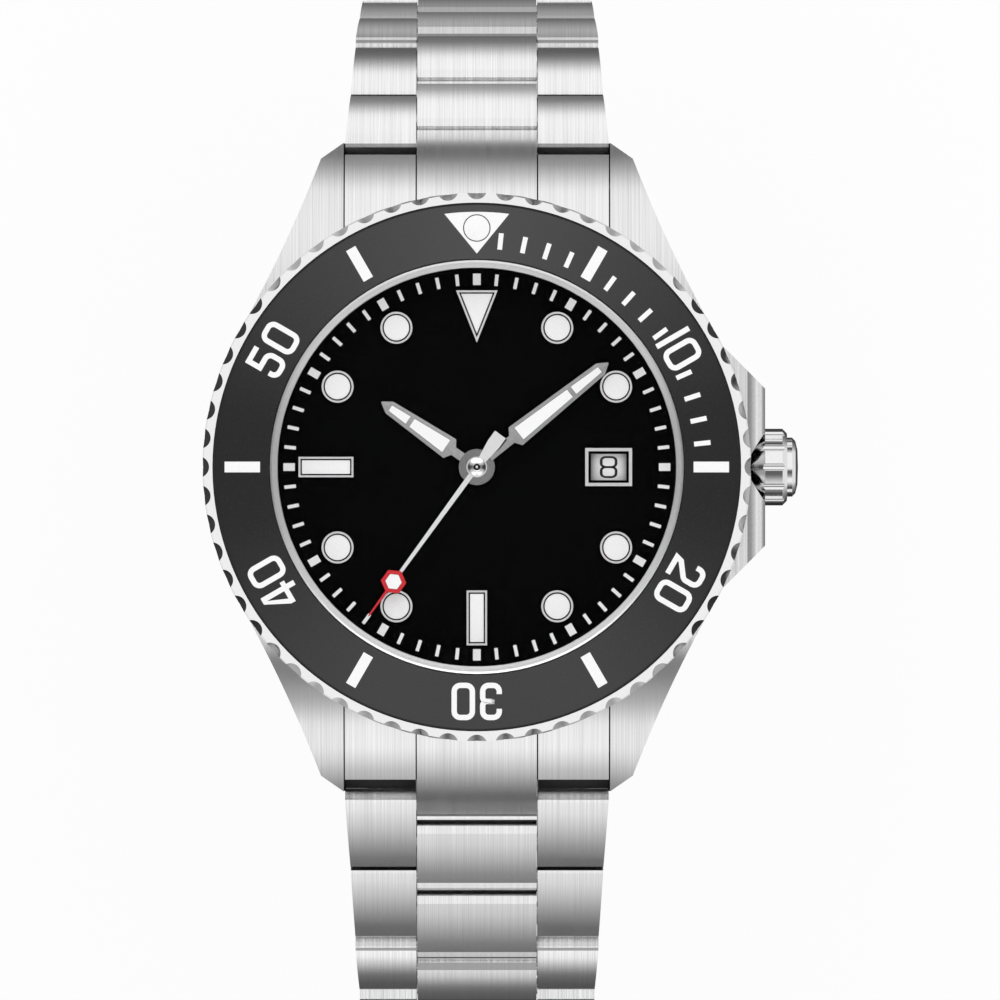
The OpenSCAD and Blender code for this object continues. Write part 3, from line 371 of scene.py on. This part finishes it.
# Bright sides, then painted shade: darker grip hollows on the bezel, darker hub flats on the hands,
# and near-black walls in the slits between links, end links and lugs
polish_faces("case", SIDE_STEEL, lambda c, n: abs(n.z) < 0.55 or (c.x > 20.3 and n.z < 0.985))
polish_faces("bezel_ring", GRIP_SHADE_STEEL, lambda c, n: abs(n.z) < 0.6)
polish_faces("minute_hand", HUB_SHADE_STEEL, lambda c, n: math.hypot(c.x, c.y) < 1.3 and n.z > 0.995)
polish_faces("hour_hand", HUB_SHADE_STEEL, lambda c, n: math.hypot(c.x, c.y) < 1.4 and n.z > 0.995)
for row in ["end_links"] + ROWS:
    polish_faces(row, SIDE_STEEL, lambda c, n: abs(n.x) > 0.7)
    polish_faces(row, SLIT_SHADE_STEEL, lambda c, n: abs(n.x) > 0.7 and abs(c.x) < 6.0)
polish_faces("end_links", SLIT_SHADE_STEEL,
             lambda c, n: abs(n.x) > 0.7 or 4.5 < abs(c.x) < 4.6)
polish_faces("case", SLIT_SHADE_STEEL, lambda c, n: abs(n.x) > 0.9 and 9.8 < abs(c.x) < 10.2)


# Flat marks: closed outlines raised a little above the face that carries them
def tidy_loop(loop):
    """A loop without points that repeat the one before."""
    out = []
    for k, p in enumerate(loop):
        if math.dist(p, loop[k - 1]) > 1e-4:
            out.append(p)
    return out


def mark_piece(name, shapes, height, body, material, proud=0.025, sink=0.04):
    """A mesh of prisms from outlines in millimetres, each a list of loops with holes."""
    verts, faces = [], []
    for loops in shapes:
        loops = [tidy_loop(loop) for loop in loops]
        base = len(verts)
        count = sum(len(loop) for loop in loops)
        for lift in (proud, -sink):
            for loop in loops:
                for x, y in loop:
                    verts.append((x * MM, y * MM, (height(math.hypot(x, y)) + lift) * MM))
        for t in tessellate_polygon([[Vector((x, y, 0.0)) for x, y in loop] for loop in loops]):
            faces.append([base + k for k in t])
            faces.append([base + count + k for k in reversed(t)])
        start = base
        for loop in loops:
            n = len(loop)
            for k in range(n):
                a, b = start + k, start + (k + 1) % n
                faces.append([a, b, b + count, a + count])
            start += n
    mesh = bpy.data.meshes.new(name)
    mesh.from_pydata(verts, [], faces)
    bm = bmesh.new()
    bm.from_mesh(mesh)
    bmesh.ops.recalc_face_normals(bm, faces=bm.faces)
    bm.to_mesh(mesh)
    bm.free()
    obj = bpy.data.objects.new(name, mesh)
    bpy.context.scene.collection.objects.link(obj)
    mesh.materials.append(material)
    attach(obj, body)


def turned(loop, clock, radius):
    """A loop drawn upright about its own centre, put at a radius, clockwise from twelve."""
    a = math.radians(clock)
    out = []
    for x, y in loop:
        y = y + radius
        out.append((x * math.cos(a) + y * math.sin(a), y * math.cos(a) - x * math.sin(a)))
    return out


def bar(clock, r0, r1, width):
    """A straight bar from one radius to another."""
    w = width / 2
    h = (r1 - r0) / 2
    return [turned([(-w, -h), (w, -h), (w, h), (-w, h)], clock, (r0 + r1) / 2)]


def round_rect(w, h, r, n=7):
    """A rectangle with round corners, about the origin."""
    pts = []
    for cx, cy, a0 in ((w / 2 - r, h / 2 - r, 0), (r - w / 2, h / 2 - r, 90),
                       (r - w / 2, r - h / 2, 180), (w / 2 - r, r - h / 2, 270)):
        for k in range(n):
            a = math.radians(a0 + 90 * k / (n - 1))
            pts.append((cx + r * math.cos(a), cy + r * math.sin(a)))
    return pts


def arc(cx, cy, r, a0, a1, n=7):
    """Points on an arc, in degrees from +X."""
    out = []
    for k in range(n):
        a = math.radians(a0 + (a1 - a0) * k / (n - 1))
        out.append((cx + r * math.cos(a), cy + r * math.sin(a)))
    return out


def ribbon(path, width):
    """The outline of a stroke of even width along a path."""
    w = width / 2
    left, right = [], []
    for k, (x, y) in enumerate(path):
        d0 = Vector(path[k]) - Vector(path[k - 1]) if k else None
        d1 = Vector(path[k + 1]) - Vector(path[k]) if k + 1 < len(path) else None
        d0 = (d0 or d1).normalized()
        d1 = (d1 or d0).normalized()
        n0 = Vector((-d0.y, d0.x))
        n1 = Vector((-d1.y, d1.x))
        n = (n0 + n1).normalized()
        n *= w / max(n.dot(n0), 0.4)
        left.append((x + n.x, y + n.y))
        right.append((x - n.x, y - n.y))
    return left + right[::-1]


def digit(c, s):
    """One figure of stroke s as outline shapes about its own centre, and its width."""
    h = DIGIT_H / 2 - s / 2
    w = DIGIT_W / 2 - s / 2
    r = DIGIT_R
    if c == "0":
        outer = round_rect(DIGIT_W, DIGIT_H, r + s / 2)
        inner = round_rect(DIGIT_W - 2 * s, DIGIT_H - 2 * s, r - s / 2)
        return [[outer, inner]], DIGIT_W
    if c == "1":
        path = [(0.0, -DIGIT_H / 2), (0.0, DIGIT_H / 2)]
        return [[ribbon(path, s)]], s
    w -= 0.06
    if c == "2":
        path = arc(r - w, h - r, r, 180, 90) + arc(w - r, h - r, r, 90, 0)
        path += arc(w - r, 0.28, r, 0, -48)
        path += [(-w + 0.12, -h + 0.42), (-w, -h), (w + s / 2, -h)]
        path = [(-w, h - r - 0.25)] + path
        return [[ribbon(path, s)]], DIGIT_W - 0.1
    if c == "3":
        a = [(-w, h - r - 0.2)]
        a += arc(r - w, h - r, r, 180, 90) + arc(w - r, h - r, r, 90, 0)
        a += arc(w - 0.32, 0.32, 0.32, 0, -90) + [(-0.28, 0.0)]
        b = [(x, -y) for x, y in a]
        return [[ribbon(a, s)], [ribbon(b, s)]], DIGIT_W - 0.1
    if c == "4":
        left, right = 0.42 - s / 2, 0.42 + s / 2
        low, high = -0.80, -0.42
        v = [[(left, -DIGIT_H / 2), (right, -DIGIT_H / 2), (right, DIGIT_H / 2),
              (0.10, DIGIT_H / 2), (-0.84, high), (-0.84, low), (left, low)],
             [(left, high), (-0.42, high), (left, 1.06)]]
        t = [[(right, low), (0.92, low), (0.92, high), (right, high)]]
        return [v, t], DIGIT_W
    if c == "5":
        path = [(w, h), (-w, h), (-w, 0.22)] + arc(w - r, 0.22 - r, r, 90, 0)
        path += arc(w - r, r - h, r, 0, -90) + arc(r - w, r - h, r, -90, -180)
        path += [(-w, r - h + 0.2)]
        return [[ribbon(path, s)]], DIGIT_W - 0.1
    if c == "7":
        return [[ribbon([(-w, h), (w, h), (-0.22, -DIGIT_H / 2)], s)]], DIGIT_W - 0.1
    if c in "69":
        hook = arc(w - r, h - r, r, 20, 90) + arc(r - w, h - r, r, 90, 180)
        hook += arc(r - w, r - h, r, 180, 270) + arc(w - r, r - h, r, -90, 0)
        hook += arc(w - r, 0.2 - r, r, 0, 90) + [(0.1 - w, 0.2)]
        if c == "9":
            hook = [(-x, -y) for x, y in hook]
        return [[ribbon(hook, s)]], DIGIT_W - 0.1
    top = round_rect(DIGIT_W - 0.1, DIGIT_H / 2 + s / 2, r + s / 2)
    eye = round_rect(DIGIT_W - 0.1 - 2 * s, DIGIT_H / 2 - 1.5 * s, r - s / 2)
    up = (DIGIT_H - s) / 4
    rings = []
    for lift in (up, -up):
        rings.append([[(x, y + lift) for x, y in loop] for loop in (top, eye)])
    return rings, DIGIT_W - 0.1


def set_in_line(text, stroke, gap):
    """The outline shapes of a number, its figures side by side about the origin."""
    parts = [digit(c, stroke) for c in text]
    x = -(sum(w for _, w in parts) + gap * (len(parts) - 1)) / 2
    shapes = []
    for figure, w in parts:
        for loops in figure:
            shapes.append([[(px + x + w / 2, py) for px, py in loop] for loop in loops])
        x += w + gap
    return shapes


def numeral(text, clock, radius):
    """A two-figure number on the insert, its top outwards."""
    return [[turned(loop, clock, radius) for loop in loops]
            for loops in set_in_line(text, STROKE, DIGIT_GAP)]


scale_marks = []
for minute in range(60):
    clock = minute * 6
    if minute in (5, 15, 25, 35, 45, 55):
        scale_marks.append(bar(clock, 16.2, 18.85, 0.80))
    elif 0 < minute < 15 and minute != 10:
        scale_marks.append(bar(clock, 16.33, 17.56, 0.36))
for minute in (10, 20, 30, 40, 50):
    scale_marks += numeral(str(minute), minute * 6, NUMERAL_AT)
tri = arc(0.0, 0.0, 19.07, 90 + 7.3, 90 - 7.3, 9) + [(0.0, 15.95)]
hole = arc(0.0, 17.86, 1.03, 0, 350, 36)
scale_marks.append([tri, hole])
mark_piece("bezel_scale", scale_marks, insert_z, "bezel", PRINT)

track = []
for minute in range(60):
    width = 0.26 if minute % 5 else 0.58
    track.append(bar(minute * 6, *TRACK, width))
mark_piece("minute_track", track, lambda r: DIAL_TOP, "watch_case", PRINT,
           0.012, 0.02)


# Fine dark lines between the marker frames and their lume
def tri_loop(inset):
    """The triangle marker drawn in by an amount, as in the CAD model."""
    leg = math.hypot(TRI_W / 2, TRI_H)
    r = TRI_W * TRI_H / (TRI_W + 2 * leg)
    k = (r - inset) / r
    y = MARKER_OUT - 0.12 - r
    return [(-TRI_W / 2 * k, y + r * k), (TRI_W / 2 * k, y + r * k), (0.0, y + (r - TRI_H) * k)]


lines = [[tri_loop(d) for d in LINE_INSETS]]
for hour in range(1, 12):
    if hour in (6, 9):
        mid = MARKER_OUT - BAR_LEN / 2
        loops = [round_rect(BAR_W - 2 * d, BAR_LEN - 2 * d, 0.02, 2) for d in LINE_INSETS]
        lines.append([turned(loop, hour * 30, mid) for loop in loops])
    elif hour != 3:
        loops = [arc(0.0, 0.0, DOT_D / 2 - d, 0, 352, 45) for d in LINE_INSETS]
        lines.append([turned(loop, hour * 30, DOT_AT) for loop in loops])
mark_piece("marker_lines", lines, lambda r: MARKER_TOP, "watch_case", DIAL,
           0.008, 0.03)


# Dates on the ring, upright at three o'clock, the eighth in the window
dates = []
for day in range(1, DAYS + 1):
    size = DATE_H / DIGIT_H
    broad = size * (1.35 if day < 10 else 0.9)
    turn = math.radians((DAY_SHOWN - day) * 360 / DAYS)
    for loops in set_in_line(str(day), DATE_STROKE, DATE_GAP):
        placed = []
        for loop in loops:
            flat = [(DATE_X + x * broad, y * size) for x, y in loop]
            placed.append([(u * math.cos(turn) - v * math.sin(turn),
                            u * math.sin(turn) + v * math.cos(turn)) for u, v in flat])
        dates.append(placed)
mark_piece("date_figures", dates, lambda r: DATE_TOP, "date", DATE_INK,
           0.016, 0.02)


# Turned rings: the face of the date ring, the edge of the insert with a black ring that is painted
# shade in its gap, and the hub of the seconds hand with a black disc that is painted shadow
def lathe(name, profile, body, material, lift, n=48):
    """A ring or dome from (radius, height) points in millimetres about the Z axis."""
    verts, faces = [], []
    for r, z in profile:
        for k in range(n):
            a = 2 * math.pi * k / n
            verts.append((r * math.cos(a) * MM, r * math.sin(a) * MM, (z + lift) * MM))
    m = len(profile)
    for i in range(m):
        j = (i + 1) % m
        for k in range(n):
            q = (k + 1) % n
            faces.append([i * n + k, i * n + q, j * n + q, j * n + k])
    mesh = bpy.data.meshes.new(name)
    mesh.from_pydata(verts, [], faces)
    bm = bmesh.new()
    bm.from_mesh(mesh)
    bmesh.ops.remove_doubles(bm, verts=bm.verts, dist=1e-7)
    bmesh.ops.recalc_face_normals(bm, faces=bm.faces)
    for f in bm.faces:
        f.smooth = True
    bm.to_mesh(mesh)
    bm.free()
    obj = bpy.data.objects.new(name, mesh)
    bpy.context.scene.collection.objects.link(obj)
    mesh.materials.append(material)
    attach(obj, body)


lathe("date_face", [(8.48, -0.01), (8.48, 0.006), (11.6, 0.006), (11.6, -0.01)],
      "date", DATE_WHITE, DATE_TOP, 96)
EDGE_TOP = insert_z(INSERT_OUT)
# A black ring in the gap round the insert: painted shade in that gap
lathe("insert_edge", [(19.59, -0.3), (19.59, 0.015), (19.75, 0.015), (19.75, -0.3)],
      "bezel", RUBBER_AND_GAP_SHADE, EDGE_TOP, 180)
HUB_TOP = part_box("seconds_hand")[1][2] / MM
lathe("seconds_hub", [(0.24, -0.05), (0.24, 0.05), (0.28, 0.09), (0.40, 0.09),
                      (0.46, 0.03), (0.66, 0.03), (0.72, 0.0), (0.72, -0.05)],
      "seconds_set", HAND_STEEL, HUB_TOP)
# A black disc inside the hub ring: painted shadow on the hub's top
lathe("seconds_hub_shadow", [(0.12, -0.04), (0.12, 0.012), (0.25, 0.012), (0.25, -0.04)],
      "seconds_set", DIAL, HUB_TOP)
lathe("seconds_post", [(0.0, -0.03), (0.0, 0.075), (0.05, 0.07), (0.09, 0.05),
                       (0.115, 0.02), (0.12, -0.03)],
      "seconds_set", HAND_STEEL, HUB_TOP)


# Camera straight above the dial, with a long lens
cam_data = bpy.data.cameras.new("camera")
cam_data.lens = 800.0
cam_data.sensor_width = 36.0
cam_data.clip_start = 0.01
cam_data.clip_end = 20.0
cam = bpy.data.objects.new("camera", cam_data)
cam.location = (0.001734, -0.002467, 1.672)
bpy.context.scene.collection.objects.link(cam)
bpy.context.scene.camera = cam


# Pale floor, a card for metal to reflect, soft lamps and a white surround
def stage_quads(name, rectangles, z, material):
    """Level rectangles (x0, x1, y0, y1) at a height, which are not part of the watch."""
    verts = []
    for x0, x1, y0, y1 in rectangles:
        verts += [(x0, y0, z), (x1, y0, z), (x1, y1, z), (x0, y1, z)]
    faces = [tuple(range(k, k + 4)) for k in range(0, len(verts), 4)]
    mesh = bpy.data.meshes.new(name)
    mesh.from_pydata([[v * MM for v in p] for p in verts], [], faces)
    obj = bpy.data.objects.new(name, mesh)
    mesh.materials.append(material)
    bpy.context.scene.collection.objects.link(obj)
    return obj


def seen_by(nodes, link, *rays):
    """One where a ray is of any of the kinds named, else nought."""
    path = nodes.new("ShaderNodeLightPath")
    seen = path.outputs[rays[0]]
    for ray in rays[1:]:
        seen = larger(nodes, link, seen, path.outputs[ray])
    return seen


def stage_floor():
    """White floor that keeps the shadows, with a graded strip and a pale studio for metal."""
    m = bpy.data.materials.new("floor")
    m.use_nodes = True
    nodes, link = m.node_tree.nodes, m.node_tree.links.new
    nodes.clear()
    coord = nodes.new("ShaderNodeTexCoord")
    axes = nodes.new("ShaderNodeSeparateXYZ")
    link(coord.outputs["Object"], axes.inputs["Vector"])
    across = size_of(nodes, link, axes.outputs["X"])
    along = size_of(nodes, link, axes.outputs["Y"])
    side_6 = ramp(nodes, link, along, [(0.06, 0.03), (0.09, 0.15), (0.13, 1.0), (0.36, 1.0),
                                       (0.46, 0.06)])
    side_12 = ramp(nodes, link, along, [(0.040, 0.05), (0.057, 0.50), (0.068, 0.05),
                                        (0.09, 0.15), (0.13, 1.0)])
    half = spread(nodes, link, axes.outputs["Y"], (-0.02, 0.02), (0.0, 1.0))
    strip = mixed(nodes, link, half, side_6, side_12)
    aside = ramp(nodes, link, across, [(0.025, 0.0), (0.05, 1.0)])
    studio = ramp(nodes, link, across, [(0.05, 0.08), (0.09, 0.35), (0.15, 0.85)])
    metal = mixed(nodes, link, aside, strip, studio)

    glow = nodes.new("ShaderNodeEmission")
    glossy = seen_by(nodes, link, "Is Glossy Ray")
    link(mixed(nodes, link, glossy, WHITE, metal), glow.inputs["Color"])
    lit = nodes.new("ShaderNodeBsdfDiffuse")
    lit.inputs["Color"].default_value = (0.92, 0.92, 0.92, 1.0)
    blend = nodes.new("ShaderNodeMixShader")
    viewed = seen_by(nodes, link, "Is Camera Ray", "Is Transmission Ray")
    viewed = spread(nodes, link, viewed, (0.0, 1.0), (0.0, 0.88))
    link(larger(nodes, link, viewed, glossy), blend.inputs["Fac"])
    link(lit.outputs[0], blend.inputs[1])
    link(glow.outputs[0], blend.inputs[2])
    out = nodes.new("ShaderNodeOutputMaterial")
    link(blend.outputs[0], out.inputs["Surface"])
    return m


# Metal sees the floor as a card that is right under the bracelet
floor = stage_floor()
low_z = CAD_BOX[0][2] / MM
wide = [(-STAGE_HALF, STAGE_HALF, -STAGE_HALF, STAGE_HALF)]
stage_quads("floor", wide, low_z - FLOOR_DROP, floor)
card = stage_quads("card", wide, low_z - CARD_DROP, floor)
card.visible_camera = False
card.visible_diffuse = False
card.visible_transmission = False
card.visible_shadow = False

# Black sheets in the slits beside the end links are painted shade, which keeps the white floor from
# shining through
slit_shade_sheets = []
for side in (-1, 1):
    slit = (side * 9.85, side * 10.05)
    slit_shade_sheets += [(*slit, 16.5, 24.35), (*slit, -24.35, -16.5)]
    slit_shade_sheets.append((side * 4.6, side * 9.9, -24.15, -23.4))
SLIT_SHADE_SHEET = painted("slit_shade_black", (0.03, 0.05), (0.6, 0.7), 3000.0, 0.001)
stage_quads("slit_shade_sheets", slit_shade_sheets, SLIT_SHADE_Z, SLIT_SHADE_SHEET)


def lamp(name, place, size_x, size_y, power):
    """A soft lamp that looks at the watch and that metal does not show."""
    data = bpy.data.lights.new(name, "AREA")
    data.shape = "RECTANGLE"
    data.size = size_x
    data.size_y = size_y
    data.energy = power
    obj = bpy.data.objects.new(name, data)
    obj.location = place
    obj.rotation_euler = Vector(place).to_track_quat("Z", "Y").to_euler()
    obj.visible_glossy = False
    bpy.context.scene.collection.objects.link(obj)


lamp("lamp_12", (0.0, 0.55, 0.75), 0.9, 0.4, 1.7)
lamp("lamp_6", (0.0, -0.55, 0.75), 0.9, 0.4, 0.6)


def studio_world():
    """Even white light, with a studio of panels and dark bands for metal to reflect."""
    world = bpy.data.worlds.new("studio")
    world.use_nodes = True
    nodes, link = world.node_tree.nodes, world.node_tree.links.new
    back = nodes["Background"]
    seen = seen_by(nodes, link, "Is Camera Ray", "Is Glossy Ray", "Is Transmission Ray")
    link(spread(nodes, link, seen, (0.0, 1.0), (0.88, 1.0)), back.inputs["Strength"])

    coord = nodes.new("ShaderNodeTexCoord")
    axes = nodes.new("ShaderNodeSeparateXYZ")
    link(coord.outputs["Generated"], axes.inputs["Vector"])
    up = axes.outputs["Z"]
    side_12 = ramp(nodes, link, up, [(0.06, 1.0), (0.12, 0.25), (0.17, 0.08), (0.27, 0.12),
                                     (0.40, 0.45), (0.56, 1.0)])
    side_6 = ramp(nodes, link, up, [(0.0, 0.06), (0.10, 0.08), (0.25, 0.35), (0.40, 0.70),
                                    (0.53, 1.0), (0.70, 0.95), (0.82, 0.40), (0.93, 0.12),
                                    (0.97, 0.14), (0.997, 1.0)])
    half = spread(nodes, link, axes.outputs["Y"], (-0.05, 0.05), (0.0, 1.0))
    strip = mixed(nodes, link, half, side_6, side_12)
    across = size_of(nodes, link, axes.outputs["X"])
    along = size_of(nodes, link, axes.outputs["Y"])
    room = ramp(nodes, link, along, [(0.12, 0.04), (0.34, 0.60), (0.60, 0.70), (1.0, 0.45)])
    walls = ramp(nodes, link, across, [(0.68, 0.0), (0.77, 0.25), (0.90, 0.38), (0.98, 0.66),
                                       (1.0, 1.0)])
    room = mixed(nodes, link, None, room, walls, "LIGHTEN")
    off = ramp(nodes, link, across, [(0.07, 0.0), (0.13, 1.0)])
    studio = mixed(nodes, link, off, strip, room)
    glossy = seen_by(nodes, link, "Is Glossy Ray")
    link(mixed(nodes, link, glossy, WHITE, studio), back.inputs["Color"])
    return world


bpy.context.scene.world = studio_world()

bpy.context.scene.view_settings.view_transform = "Standard"
